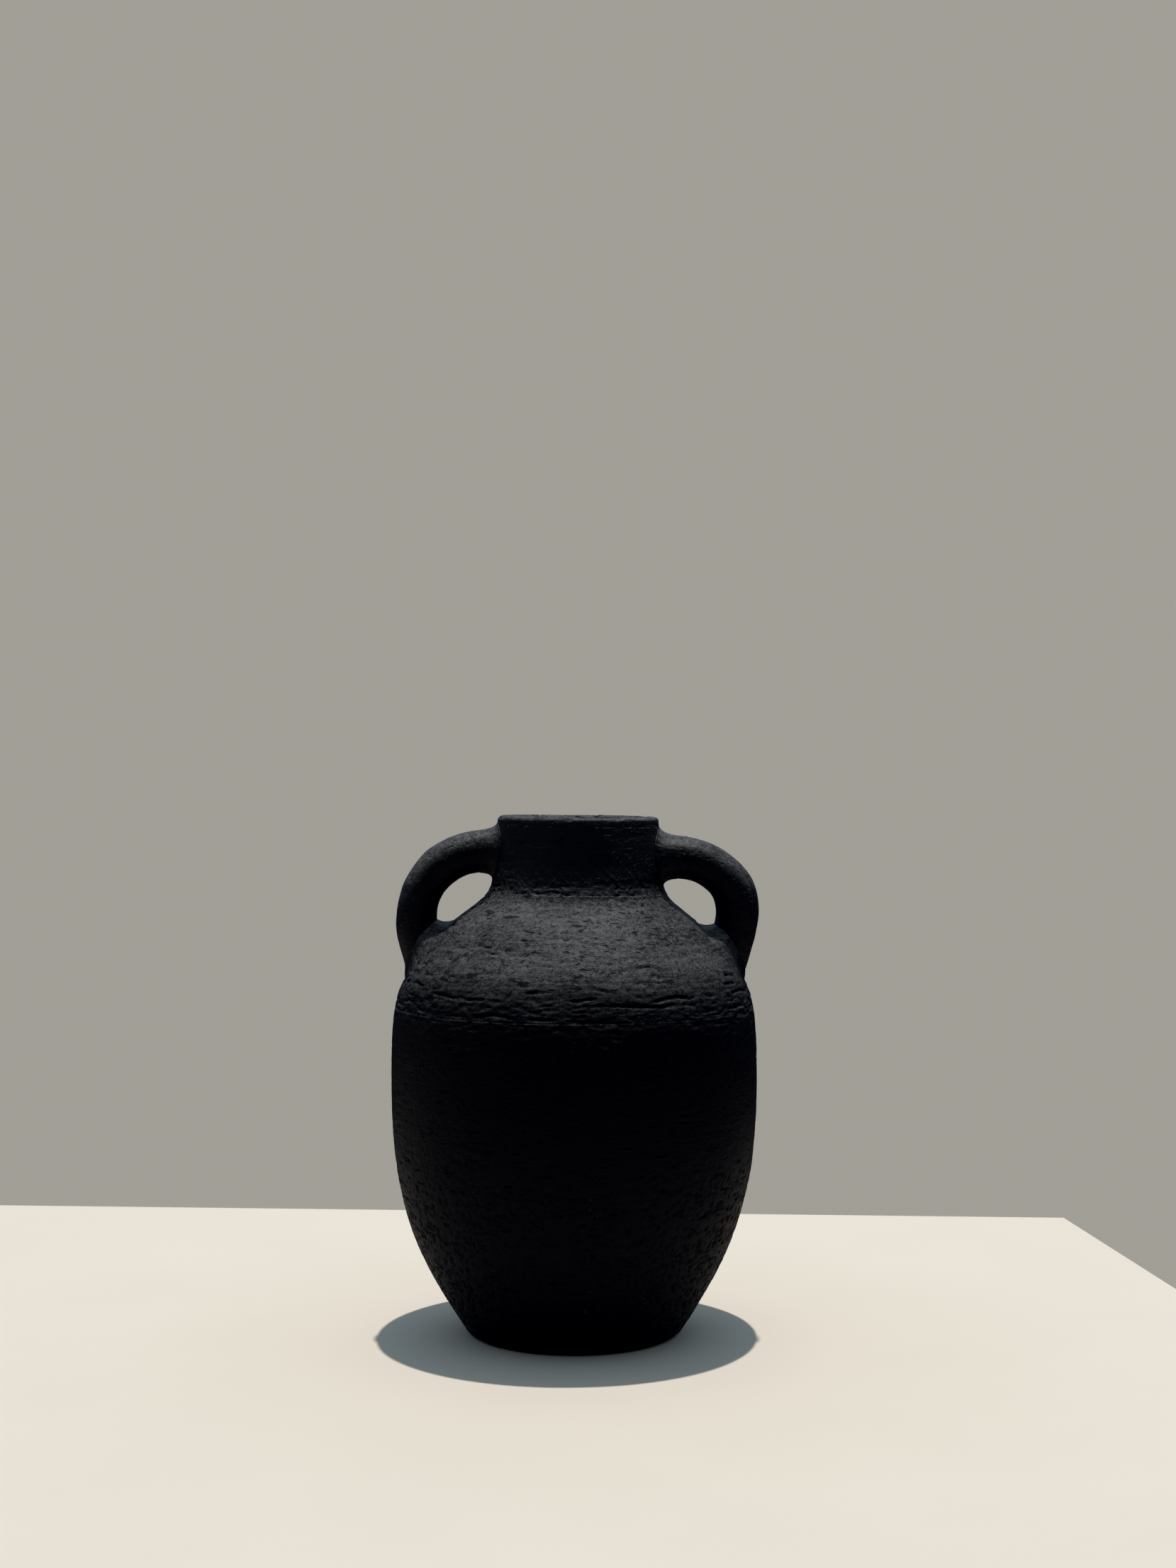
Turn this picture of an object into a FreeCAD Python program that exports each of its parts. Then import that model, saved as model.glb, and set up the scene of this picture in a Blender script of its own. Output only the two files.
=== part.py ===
"""Two-handled black clay pot, built in the courses a potter raises it in.

The pot stands on +Z with its origin at the centre of its foot. Its wall is one turned
form: three tangent Bezier spans run from the foot over the belly and the shoulder to the
neck, which is straight and ends in a rounded lip. Joints that fall towards the outside
divide the wall into the courses laid one on the other. Two strap handles spring from the
neck, bend down and run into the shoulder, and each end is luted with a collar of clay.

Lengths are in millimetres and angles in degrees. The sheet "dims" holds every size.
"""

import FreeCAD, Part
import math
import os

import Sketcher

V = FreeCAD.Vector

# alias, value, meaning
DIMENSIONS = [
    ("pot_height", 300.0, "from the ground to the top of the lip"),
    ("foot_radius", 61.4, "where the wall would meet the ground, its edge not rounded"),
    ("foot_lean", 33.6, "outward lean of the wall at the foot, from vertical"),
    ("foot_round", 4.0, "rounding of the foot's edge, along the ground and the wall"),
    ("foot_carry", 54.0, "how far the foot's lean carries up the wall"),
    ("belly_radius", 106.3, "largest outer radius of the body"),
    ("belly_height", 147.2, "height of the largest radius"),
    ("belly_carry_down", 72.4, "how far the upright belly carries down"),
    ("belly_carry_up", 53.9, "how far the upright belly carries up"),
    ("slope_inset", 26.0, "from the belly's radius in to the middle of the shoulder"),
    ("slope_drop", 70.0, "from the lip down to the middle of the shoulder"),
    ("slope_pitch", 41.5, "inward lean of the shoulder at its middle, from vertical"),
    ("slope_carry_down", 32.6, "how far that lean carries down the shoulder"),
    ("slope_carry_up", 21.5, "how far that lean carries up the shoulder"),
    ("neck_length", 37.6, "from the lip down to the foot of the neck"),
    ("neck_lean", 4.6, "inward lean of the neck's outside, from vertical"),
    ("neck_carry", 13.1, "how far the neck's lean carries into the shoulder"),
    ("wall", 7.6, "thickness of the body's wall"),
    ("base_thickness", 10.0, "thickness of the base disc"),
    ("mouth_radius", 40.0, "inner radius of the neck and the mouth"),
    ("lip_wall", 6.9, "thickness of the neck at the lip"),
    ("lip_crown", 2.6, "height of the lip's rounded top"),
    ("throat_drop", 8.0, "from the foot of the neck down to where the bore widens"),
    ("throat_carry", 10.0, "how far the bore's upright side carries into the shoulder"),
    ("base_bevel", 36.0, "fall of the joint round the base disc, from level"),
    ("course_bevel", 20.0, "fall of the other joints, from level"),
    ("lower_joint", 75.0, "height of the joint over the lower wall"),
    ("belly_joint", 188.5, "height of the joint over the belly wall"),
    ("neck_joint_drop", 42.5, "from the lip down to the joint under the neck"),
    ("lip_joint_drop", 5.6, "from the lip down to the joint under the lip coil"),
    ("strap_width", 29.0, "handles, front to back"),
    ("strap_edge", 9.5, "rounding of the handles' long edges"),
    ("root_run", 22.0, "straight run of the handles' middle line before the bend"),
    ("heel_lean", 17.0, "inward lean of the handles as they come down to the shoulder"),
    ("left_thickness", 24.0, "left handle, across the strap"),
    ("left_bend", 38.4, "radius of the left handle's bend, to its middle line"),
    ("left_drop", 21.4, "from the lip down to the left handle's middle line"),
    ("left_inset", 13.1, "from the belly's radius in to the left handle's middle line"),
    ("right_thickness", 25.0, "right handle, across the strap"),
    ("right_bend", 37.4, "radius of the right handle's bend, to its middle line"),
    ("right_drop", 23.4, "from the lip down to the right handle's middle line"),
    ("right_inset", 12.9, "from the belly's radius in to the right handle's middle line"),
    ("tail_length", 40.0, "from the shoulder's middle down to the buried end of a handle"),
    ("collar_spread", 6.0, "upper luting, how far it stands off the strap inside the neck"),
    ("collar_skin", 0.6, "upper luting, how far it stands off the strap at its outer end"),
    ("collar_reach", 10.0, "upper luting, how far it runs out past the neck's top"),
    ("heel_drop", 9.7, "from the shoulder's middle down to the middle of the lower luting"),
    ("heel_rise", 10.0, "lower luting, how far it stands up from the shoulder"),
    ("heel_depth", 8.0, "lower luting, how far its flare is carried into the shoulder"),
    ("heel_spread", 6.5, "lower luting, how far it stands off the strap at that depth"),
    ("heel_skin", 0.7, "lower luting, how far it stands off the strap at its top"),
    ("heel_bias", 5.0, "lower luting, how far its flare is set up the shoulder"),
    ("luting_edge", 11.0, "rounding of both lutings' corners"),
]


def make_sheet(doc):
    """The spreadsheet, one size to a row: its alias, its value and its meaning."""
    sheet = doc.addObject("Spreadsheet::Sheet", "dims")
    for row, (alias, value, meaning) in enumerate(DIMENSIONS, start=1):
        sheet.set(f"A{row}", alias)
        sheet.set(f"B{row}", str(value))
        sheet.setAlias(f"B{row}", alias)
        sheet.set(f"C{row}", meaning)
    doc.recompute()


def new_sketch(body, name, plane):
    """A sketch on one of the body's own origin planes."""
    sketch = body.newObject("Sketcher::SketchObject", name)
    feature = next(item for item in body.Origin.OriginFeatures if item.Role == plane)
    sketch.AttachmentSupport = [(feature, "")]
    sketch.MapMode = "FlatFace"
    return sketch


def place(sketch, point):
    """Where a point given as two expressions lies now."""
    return V(*(float(sketch.evalExpression(text)) for text in point), 0.0)


def bind(sketch, constraint, text):
    """Add a constraint whose value follows an expression."""
    index = sketch.addConstraint(constraint)
    sketch.setExpression(f"Constraints[{index}]", text)


def pin(sketch, item, end, point):
    """Hold one point of the sketch at a point given as two expressions."""
    spot = place(sketch, point)
    bind(sketch, Sketcher.Constraint("DistanceX", -1, 1, item, end, spot.x), point[0])
    bind(sketch, Sketcher.Constraint("DistanceY", -1, 1, item, end, spot.y), point[1])


def add_span(sketch, points):
    """A cubic Bezier span whose two middle poles are pinned."""
    spots = [place(sketch, point) for point in points]
    marks = [sketch.addGeometry(Part.Circle(spot, V(0, 0, 1), 1.0), True) for spot in spots]
    curve = Part.BSplineCurve(spots, None, None, False, 3, None, False)
    span = sketch.addGeometry(curve, False)
    sketch.addConstraint(Sketcher.Constraint("Weight", marks[0], 1.0))
    for mark in marks[1:]:
        sketch.addConstraint(Sketcher.Constraint("Equal", marks[0], mark))
    role = "InternalAlignment:Sketcher::BSplineControlPoint"
    for index, mark in enumerate(marks):
        sketch.addConstraint(Sketcher.Constraint(role, mark, 3, span, index))
    for mark, point in zip(marks[1:3], points[1:3]):
        pin(sketch, mark, 3, point)
    return span


def draw_outline(sketch, steps):
    """A closed outline. Each step is a station, followed by the two poles of the span that
    leaves it where that span is curved."""
    edges = []
    for step, following in zip(steps, steps[1:] + steps[:1]):
        points = step + following[:1]
        if len(points) == 4:
            edges.append(add_span(sketch, points))
        else:
            line = Part.LineSegment(place(sketch, points[0]), place(sketch, points[1]))
            edges.append(sketch.addGeometry(line, False))
    for index, edge in enumerate(edges):
        sketch.addConstraint(Sketcher.Constraint("Coincident", edges[index - 1], 2, edge, 1))
    for edge, step in zip(edges, steps):
        pin(sketch, edge, 1, step[0])


def draw_rounded_box(sketch, centre, half_x, half_y, rounding):
    """A rectangle about a centre with its corners rounded, sizes given as expressions."""
    radius = float(sketch.evalExpression(rounding))
    arcs = []
    for quarter, (sign_x, sign_y) in enumerate([(1, 1), (-1, 1), (-1, -1), (1, -1)]):
        corner = (
            f"({centre[0]}) + {sign_x} * ({half_x} - {rounding})",
            f"({centre[1]}) + {sign_y} * ({half_y} - {rounding})",
        )
        circle = Part.Circle(place(sketch, corner), V(0, 0, 1), radius)
        start = quarter * math.pi / 2
        arc = sketch.addGeometry(Part.ArcOfCircle(circle, start, start + math.pi / 2), False)
        pin(sketch, arc, 3, corner)
        bind(sketch, Sketcher.Constraint("Radius", arc, radius), rounding)
        arcs.append(arc)
    for arc, following in zip(arcs, arcs[1:] + arcs[:1]):
        leave = sketch.Geometry[arc].EndPoint
        arrive = sketch.Geometry[following].StartPoint
        side = sketch.addGeometry(Part.LineSegment(leave, arrive), False)
        sketch.addConstraint(Sketcher.Constraint("Tangent", arc, 2, side, 1))
        sketch.addConstraint(Sketcher.Constraint("Tangent", side, 2, following, 1))


def turned(doc, name, steps):
    """A body turned about +Z from an outline of radii and heights."""
    body = doc.addObject("PartDesign::Body", name)
    sketch = new_sketch(body, f"{name}_outline", "XZ_Plane")
    draw_outline(sketch, steps)
    turn = body.newObject("PartDesign::Revolution", f"{name}_turn")
    turn.Profile = sketch
    turn.ReferenceAxis = (sketch, ["V_Axis"])
    turn.Angle = 360.0
    return body


def boolean(doc, kind, name, base, tool):
    """A Part::Cut or Part::Common of two objects."""
    result = doc.addObject(f"Part::{kind}", name)
    result.Base = base
    result.Tool = tool
    return result


# Outer form -------------------------------------------------------------------------

SLOPE_RADIUS = "(dims.belly_radius - dims.slope_inset)"
SLOPE_HEIGHT = "(dims.pot_height - dims.slope_drop)"
NECK_HEIGHT = "(dims.pot_height - dims.neck_length)"
NECK_TOP = "(dims.mouth_radius + dims.lip_wall)"
NECK_RADIUS = f"({NECK_TOP} + (dims.neck_length - dims.lip_crown) * tan(dims.neck_lean))"
LIP_SPRING = "(dims.pot_height - dims.lip_crown)"
INNER_FOOT = (
    "(dims.foot_radius + dims.base_thickness * tan(dims.foot_lean)"
    " - dims.wall / cos(dims.foot_lean))"
)
ROUND_PULL = 0.45  # how near a rounding's poles lie to its corner, so that it reads round


def outer_steps():
    """Stations and poles from the ground, outside, to the spring of the lip."""
    def along_foot(distance):
        """A point on the line the wall's foot leans along."""
        return (
            f"dims.foot_radius + {distance} * sin(dims.foot_lean)",
            f"{distance} * cos(dims.foot_lean)",
        )

    return [
        [
            ("dims.foot_radius - dims.foot_round", "0"),
            (f"dims.foot_radius - dims.foot_round * {ROUND_PULL}", "0"),
            along_foot(f"dims.foot_round * {ROUND_PULL}"),
        ],
        [
            along_foot("dims.foot_round"),
            along_foot("dims.foot_carry"),
            ("dims.belly_radius", "dims.belly_height - dims.belly_carry_down"),
        ],
        [
            ("dims.belly_radius", "dims.belly_height"),
            ("dims.belly_radius", "dims.belly_height + dims.belly_carry_up"),
            (
                f"{SLOPE_RADIUS} + dims.slope_carry_down * sin(dims.slope_pitch)",
                f"{SLOPE_HEIGHT} - dims.slope_carry_down * cos(dims.slope_pitch)",
            ),
        ],
        [
            (SLOPE_RADIUS, SLOPE_HEIGHT),
            (
                f"{SLOPE_RADIUS} - dims.slope_carry_up * sin(dims.slope_pitch)",
                f"{SLOPE_HEIGHT} + dims.slope_carry_up * cos(dims.slope_pitch)",
            ),
            (
                f"{NECK_RADIUS} + dims.neck_carry * sin(dims.neck_lean)",
                f"{NECK_HEIGHT} - dims.neck_carry * cos(dims.neck_lean)",
            ),
        ],
        [(NECK_RADIUS, NECK_HEIGHT)],
    ]


def wall_steps():
    """The whole section of the turned pot: outside, over the lip, down the inside."""
    inner_belly = "dims.belly_radius - dims.wall"
    inner_slope = (
        f"{SLOPE_RADIUS} - dims.wall * cos(dims.slope_pitch)",
        f"{SLOPE_HEIGHT} - dims.wall * sin(dims.slope_pitch)",
    )
    throat = f"{NECK_HEIGHT} - dims.throat_drop"
    lip_pole = f"{LIP_SPRING} + dims.lip_crown * 4 / 3"
    return outer_steps() + [
        [(NECK_TOP, LIP_SPRING), (NECK_TOP, lip_pole), ("dims.mouth_radius", lip_pole)],
        [("dims.mouth_radius", LIP_SPRING)],
        [
            ("dims.mouth_radius", throat),
            ("dims.mouth_radius", f"{throat} - dims.throat_carry"),
            (
                f"{inner_slope[0]} - dims.slope_carry_up * sin(dims.slope_pitch)",
                f"{inner_slope[1]} + dims.slope_carry_up * cos(dims.slope_pitch)",
            ),
        ],
        [
            inner_slope,
            (
                f"{inner_slope[0]} + dims.slope_carry_down * sin(dims.slope_pitch)",
                f"{inner_slope[1]} - dims.slope_carry_down * cos(dims.slope_pitch)",
            ),
            (inner_belly, "dims.belly_height + dims.belly_carry_up - dims.wall"),
        ],
        [
            (inner_belly, "dims.belly_height"),
            (inner_belly, "dims.belly_height - dims.belly_carry_down + dims.wall / 2"),
            (
                f"{INNER_FOOT} + (dims.foot_carry - dims.base_thickness) * sin(dims.foot_lean)",
                "dims.base_thickness"
                " + (dims.foot_carry - dims.base_thickness) * cos(dims.foot_lean)",
            ),
        ],
        [(INNER_FOOT, "dims.base_thickness")],
        [("0", "dims.base_thickness")],
        [("0", "0")],
    ]


# Courses of the wall ----------------------------------------------------------------


def joint_line(radius, height, bevel):
    """A joint's line, from the axis to clear outside the pot, through one given point."""
    outside = "2 * dims.belly_radius"
    return [
        ("0", f"{height} + ({radius}) * tan({bevel})"),
        (outside, f"{height} - ({outside} - ({radius})) * tan({bevel})"),
    ]


def build_courses(doc, pot_wall):
    """The wall divided at its joints, from the base disc up to the lip coil."""
    course = "dims.course_bevel"
    joints = [
        joint_line("0", "-2 * dims.pot_height", "0"),
        joint_line(INNER_FOOT, "dims.base_thickness", "dims.base_bevel"),
        joint_line("dims.belly_radius", "dims.lower_joint", course),
        joint_line("dims.belly_radius", "dims.belly_joint", course),
        joint_line(NECK_TOP, "(dims.pot_height - dims.neck_joint_drop)", course),
        joint_line(NECK_TOP, "(dims.pot_height - dims.lip_joint_drop)", course),
        joint_line("0", "2 * dims.pot_height", "0"),
    ]
    names = [
        "base_disc", "lower_wall", "belly_wall", "shoulder_wall", "neck_collar", "lip_coil",
    ]
    courses = []
    for name, below, above in zip(names, joints, joints[1:]):
        band = turned(doc, f"{name}_band", [[below[0]], [below[1]], [above[1]], [above[0]]])
        courses.append(boolean(doc, "Common", name, pot_wall, band))
    return courses


# Handles and their luting -----------------------------------------------------------


def strap_points(side, sign):
    """Middle line of a handle as points of the XZ plane: start, spring of the bend, centre
    of the bend, the bend's end and the buried tail."""
    reach = f"(dims.belly_radius - dims.{side}_inset)"
    crown = f"(dims.pot_height - dims.{side}_drop)"
    bend = f"dims.{side}_bend"
    centre_x = f"({reach} - {bend})"
    centre_z = f"({crown} - {bend})"
    tail_z = f"({SLOPE_HEIGHT} - dims.tail_length)"
    end_x = f"({centre_x} + {bend} * cos(dims.heel_lean))"
    end_z = f"({centre_z} - {bend} * sin(dims.heel_lean))"
    points = {
        "start": (f"({centre_x} - dims.root_run)", crown),
        "spring": (centre_x, crown),
        "centre": (centre_x, centre_z),
        "end": (end_x, end_z),
        "tail": (f"({end_x} - ({end_z} - {tail_z}) * tan(dims.heel_lean))", tail_z),
    }
    return {key: (f"{sign} * {x}", z) for key, (x, z) in points.items()}


def build_strap(doc, side, sign):
    """A handle before its ends are cut: a rounded strap carried along its middle line."""
    body = doc.addObject("PartDesign::Body", f"{side}_strap")
    points = strap_points(side, sign)

    section = new_sketch(body, f"{side}_strap_section", "YZ_Plane")
    section.setExpression("AttachmentOffset.Base.z", points["start"][0])
    half_width, half_thickness = "dims.strap_width / 2", f"dims.{side}_thickness / 2"
    middle = ("0", points["start"][1])
    draw_rounded_box(section, middle, half_width, half_thickness, "dims.strap_edge")

    path = new_sketch(body, f"{side}_strap_path", "XZ_Plane")
    spots = {key: place(path, point) for key, point in points.items()}
    outward = path.addGeometry(Part.LineSegment(spots["start"], spots["spring"]), False)
    halfway = spots["end"] + spots["spring"] - spots["centre"] * 2
    radius = (spots["end"] - spots["centre"]).Length
    halfway = spots["centre"] + halfway.normalize() * radius
    bend = path.addGeometry(Part.Arc(spots["spring"], halfway, spots["end"]), False)
    downward = path.addGeometry(Part.LineSegment(spots["end"], spots["tail"]), False)
    first, last = (2, 1) if sign > 0 else (1, 2)
    pin(path, outward, 1, points["start"])
    pin(path, outward, 2, points["spring"])
    pin(path, bend, 3, points["centre"])
    pin(path, downward, 2, points["tail"])
    path.addConstraint(Sketcher.Constraint("Coincident", outward, 2, bend, first))
    path.addConstraint(Sketcher.Constraint("Tangent", bend, last, downward, 1))

    pipe = body.newObject("PartDesign::AdditivePipe", f"{side}_strap_pipe")
    pipe.Profile = section
    pipe.Spine = (path, ["Edge1", "Edge2", "Edge3"])
    return body


def build_collar(doc, side, sign):
    """Clay round a handle's root at the neck, flaring towards the neck."""
    body = doc.addObject("PartDesign::Body", f"{side}_collar")
    middle = ("0", f"dims.pot_height - dims.{side}_drop")
    stages = [
        ("dims.mouth_radius", "dims.collar_spread"),
        (f"{NECK_TOP} + dims.collar_reach", "dims.collar_skin"),
    ]
    sections = []
    for index, (distance, spread) in enumerate(stages):
        sketch = new_sketch(body, f"{side}_collar_section_{index}", "YZ_Plane")
        sketch.setExpression("AttachmentOffset.Base.z", f"{sign} * ({distance})")
        half_width = f"(dims.strap_width / 2 + {spread})"
        half_thickness = f"(dims.{side}_thickness / 2 + {spread})"
        draw_rounded_box(sketch, middle, half_width, half_thickness, "dims.luting_edge")
        sections.append(sketch)
    loft = body.newObject("PartDesign::AdditiveLoft", f"{side}_collar_loft")
    loft.Profile = sections[0]
    loft.Sections = sections[1:]
    loft.Ruled = True
    return body


def build_heel(doc, side, sign):
    """Clay round a handle's foot on the shoulder: a flare between two planes that lie along
    the shoulder's slope, each set about the point where the strap passes through it."""
    body = doc.addObject("PartDesign::Body", f"{side}_heel")
    end_x, end_z = strap_points(side, 1)["end"]
    root_z = f"({SLOPE_HEIGHT} - dims.heel_drop)"
    root_x = f"({end_x} - ({end_z} - {root_z}) * tan(dims.heel_lean))"
    crossing = "(dims.heel_lean + dims.slope_pitch)"
    stages = [
        ("-dims.heel_depth", "dims.heel_spread", "dims.heel_bias"),
        ("dims.heel_rise", "dims.heel_skin", "0"),
    ]
    sections = []
    for index, (lift, spread, bias) in enumerate(stages):
        sketch = new_sketch(body, f"{side}_heel_section_{index}", "XY_Plane")
        tilt = FreeCAD.Rotation(V(0, 1, 0), sign * 45.0)
        sketch.AttachmentOffset = FreeCAD.Placement(V(), tilt)
        across = f"{sign} * ({root_x} + ({lift}) * cos(dims.slope_pitch))"
        sketch.setExpression("AttachmentOffset.Base.x", across)
        up = f"{root_z} + ({lift}) * sin(dims.slope_pitch)"
        sketch.setExpression("AttachmentOffset.Base.z", up)
        angle = f"{sign} * (90 - dims.slope_pitch)"
        sketch.setExpression("AttachmentOffset.Rotation.Angle", angle)
        middle = (f"-{sign} * (({lift}) / tan({crossing}) + {bias})", "0")
        half_length = f"(dims.{side}_thickness / 2 / sin({crossing}) + {spread})"
        half_width = f"(dims.strap_width / 2 + {spread})"
        draw_rounded_box(sketch, middle, half_length, half_width, "dims.luting_edge")
        sections.append(sketch)
    loft = body.newObject("PartDesign::AdditiveLoft", f"{side}_heel_loft")
    loft.Profile = sections[0]
    loft.Sections = sections[1:]
    loft.Ruled = True
    return body


def build_handle(doc, side, sign, outer_form):
    """One handle and its two lutings, each cut to lie against the pot and the strap."""
    strap = build_strap(doc, side, sign)
    pieces = [boolean(doc, "Cut", f"handle_{side}", strap, outer_form)]
    for end, build in (("upper", build_collar), ("lower", build_heel)):
        clear = boolean(doc, "Cut", f"{end}_clear_{side}", build(doc, side, sign), outer_form)
        pieces.append(boolean(doc, "Cut", f"{end}_luting_{side}", clear, strap))
    return pieces


def check(doc, pieces):
    """Stop if any object failed or any piece isn't one sound solid."""
    for item in doc.Objects:
        if {"Invalid", "Error"} & set(item.State):
            raise RuntimeError(f"{item.Label}: {item.State}")
    for piece in pieces:
        shape = piece.Shape
        if shape.isNull() or not shape.isValid() or len(shape.Solids) != 1:
            raise RuntimeError(f"{piece.Label} isn't one sound solid")


def main():
    doc = FreeCAD.newDocument("two_handled_pot")
    make_sheet(doc)
    crown = [[(NECK_TOP, LIP_SPRING)], [("0", LIP_SPRING)], [("0", "0")]]
    outer_form = turned(doc, "outer_form", outer_steps() + crown)
    pieces = build_courses(doc, turned(doc, "pot_wall", wall_steps()))
    for side, sign in (("left", -1), ("right", 1)):
        pieces += build_handle(doc, side, sign, outer_form)
    doc.recompute()
    check(doc, pieces)
    os.makedirs("parts", exist_ok=True)
    for piece in pieces:
        piece.Shape.exportStep(os.path.join("parts", f"{piece.Label}.step"))


main()
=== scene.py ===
"""Two-handled black clay pot: courses of coiled clay, strap handles and their luting.

Every piece is a surface worked out with numpy in the part's frame, in metres, +Z up. The pieces
of the wall share one outline and one relief, so that they meet without a step.
"""

import math
from collections import namedtuple

import bpy
import numpy as np
from bpy.props import FloatProperty, FloatVectorProperty, IntProperty, PointerProperty
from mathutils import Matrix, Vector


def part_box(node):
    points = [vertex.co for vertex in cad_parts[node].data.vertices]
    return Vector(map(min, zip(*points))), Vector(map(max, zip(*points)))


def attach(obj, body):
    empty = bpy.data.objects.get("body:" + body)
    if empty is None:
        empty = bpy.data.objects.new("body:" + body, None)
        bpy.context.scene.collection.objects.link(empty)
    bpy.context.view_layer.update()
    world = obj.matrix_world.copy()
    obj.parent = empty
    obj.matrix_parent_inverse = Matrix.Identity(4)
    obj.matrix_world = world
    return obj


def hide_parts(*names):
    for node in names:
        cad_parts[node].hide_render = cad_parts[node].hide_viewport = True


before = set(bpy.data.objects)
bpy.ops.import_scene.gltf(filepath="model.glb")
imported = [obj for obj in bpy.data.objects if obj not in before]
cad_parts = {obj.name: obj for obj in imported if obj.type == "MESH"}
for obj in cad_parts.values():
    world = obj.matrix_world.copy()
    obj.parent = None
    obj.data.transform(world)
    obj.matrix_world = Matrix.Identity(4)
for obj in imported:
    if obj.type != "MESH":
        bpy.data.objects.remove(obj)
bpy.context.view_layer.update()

bl_info = {
    "name": "Two-handled clay pot",
    "version": (1, 0, 0),
    "blender": (4, 5, 0),
    "location": "3D View > Sidebar > Pot",
    "description": "Builds a coil-built black clay pot with two strap handles",
    "category": "Add Mesh",
}

MM = 0.001
COURSES = ("base_disc", "lower_wall", "belly_wall", "shoulder_wall", "neck_collar", "lip_coil")
SIDES = {"left": -1.0, "right": 1.0}
FACE_POINTS = 5  # across the face of a joint, without the corner it starts at
BASE_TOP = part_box("base_disc")[1].z
LIP_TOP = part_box("lip_coil")[1].z
BELLY_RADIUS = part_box("belly_wall")[1].x


# Sizes and colours a user may change ----------------------------------------------------


def length(name, description, default):
    """A length in metres."""
    return FloatProperty(
        name=name, description=description, default=default, min=0.0, precision=4,
        unit="LENGTH",
    )


def angle(name, description, degrees):
    """An angle, stated in degrees and kept in radians."""
    return FloatProperty(
        name=name, description=description, default=math.radians(degrees), subtype="ANGLE"
    )


class PotSizes(bpy.types.PropertyGroup):
    foot_radius: length("Foot radius", "Where the wall would meet the ground", 61.4 * MM)
    foot_lean: angle("Foot lean", "Outward lean of the wall at the foot", 33.6)
    foot_round: length("Foot rounding", "Rounding of the foot's edge", 4.0 * MM)
    belly_radius: length("Belly radius", "Largest outer radius", BELLY_RADIUS)
    belly_height: length("Belly height", "Height of the largest radius", 147.2 * MM)
    slope_inset: length("Slope inset", "From the belly's radius in to mid shoulder", 26.0 * MM)
    slope_drop: length("Slope drop", "From the lip down to mid shoulder", 70.0 * MM)
    slope_pitch: angle("Shoulder pitch", "Inward lean of the shoulder at its middle", 41.5)
    neck_length: length("Neck length", "From the lip down to the foot of the neck", 37.6 * MM)
    neck_lean: angle("Neck lean", "Inward lean of the neck's outside", 4.6)
    mouth_radius: length("Mouth radius", "Inner radius of the neck", 40.0 * MM)
    lip_wall: length("Lip wall", "Thickness of the neck at the lip", 6.9 * MM)
    lip_crown: length("Lip crown", "Height of the lip's rounded top", 2.6 * MM)
    wall: length("Wall", "Thickness of the body's wall", 7.6 * MM)
    throat_drop: length("Throat drop", "From the neck's foot down to the widening", 8.0 * MM)
    low_joint: length("Low joint", "Height of the joint between the two lower courses", 75.0 * MM)
    seam: length("Seam", "Height of the joint over the belly", 188.5 * MM)
    collar_drop: length("Collar drop", "From the lip down to the collar's joint", 42.5 * MM)
    coil_drop: length("Coil drop", "From the lip down to the lip coil's joint", 5.6 * MM)
    course_bevel: angle("Course bevel", "Outward fall of the joints between courses", 20.0)
    base_bevel: angle("Base bevel", "Outward fall of the base disc's joint", 36.0)
    strap_width: length("Strap width", "Handles, front to back", 29.0 * MM)
    heel_lean: angle("Heel lean", "Inward lean of the handles at the shoulder", 17.0)
    neck_shift: length("Neck shift", "How far the neck sits off the belly's axis", 2.1 * MM)
    lip_tilt: angle("Lip tilt", "How far the lip falls towards the right", 0.85)
    grid: length("Surface step", "Spacing of the surface's points up the wall", 1.12 * MM)
    columns: IntProperty(
        name="Columns", description="Points round the pot", default=640, min=64, max=900
    )


class ClayLook(bpy.types.PropertyGroup):
    clay: FloatVectorProperty(
        name="Clay", description="Colour of the clay in its hollows", subtype="COLOR",
        default=(0.0042, 0.0043, 0.0056), min=0.0, max=1.0,
    )
    # This colour is the dust on high spots and also painted light on what faces up.
    dust_and_painted_light_colour: FloatVectorProperty(
        name="Dust", description="Colour of the dust on its high spots", subtype="COLOR",
        default=(0.124, 0.118, 0.116), min=0.0, max=1.0,
    )
    relief: FloatProperty(
        name="Relief", description="Depth of the tool marks, cracks and pits",
        default=1.0, min=0.0, max=2.0, subtype="FACTOR",
    )


class StageLook(bpy.types.PropertyGroup):
    camera_height: length("Camera height", "Above the table", 318.6 * MM)
    camera_distance: length("Camera distance", "From the pot's axis", 1272.0 * MM)
    camera_aside: length("Camera aside", "To the right of the pot's axis", 7.7 * MM)
    table_colour: FloatVectorProperty(
        name="Table", description="Colour of the table", subtype="COLOR",
        default=(0.785, 0.685, 0.57), min=0.0, max=1.0,
    )
    backdrop_colour: FloatVectorProperty(
        name="Backdrop", description="Colour behind the table", subtype="COLOR",
        default=(0.36, 0.345, 0.31), min=0.0, max=1.0,
    )
    key_power: FloatProperty(
        name="Key light", description="Power of the light overhead", default=285.0, min=0.0,
        unit="POWER",
    )


def sizes():
    """The pot's sizes, as the scene holds them."""
    return bpy.context.scene.pot_sizes


def look():
    """The clay's colours and relief, as the scene holds them."""
    return bpy.context.scene.clay_look


def stage_look():
    """The table, the backdrop, the light and the camera, as the scene holds them."""
    return bpy.context.scene.stage_look


# Noise and relief -----------------------------------------------------------------------


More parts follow.
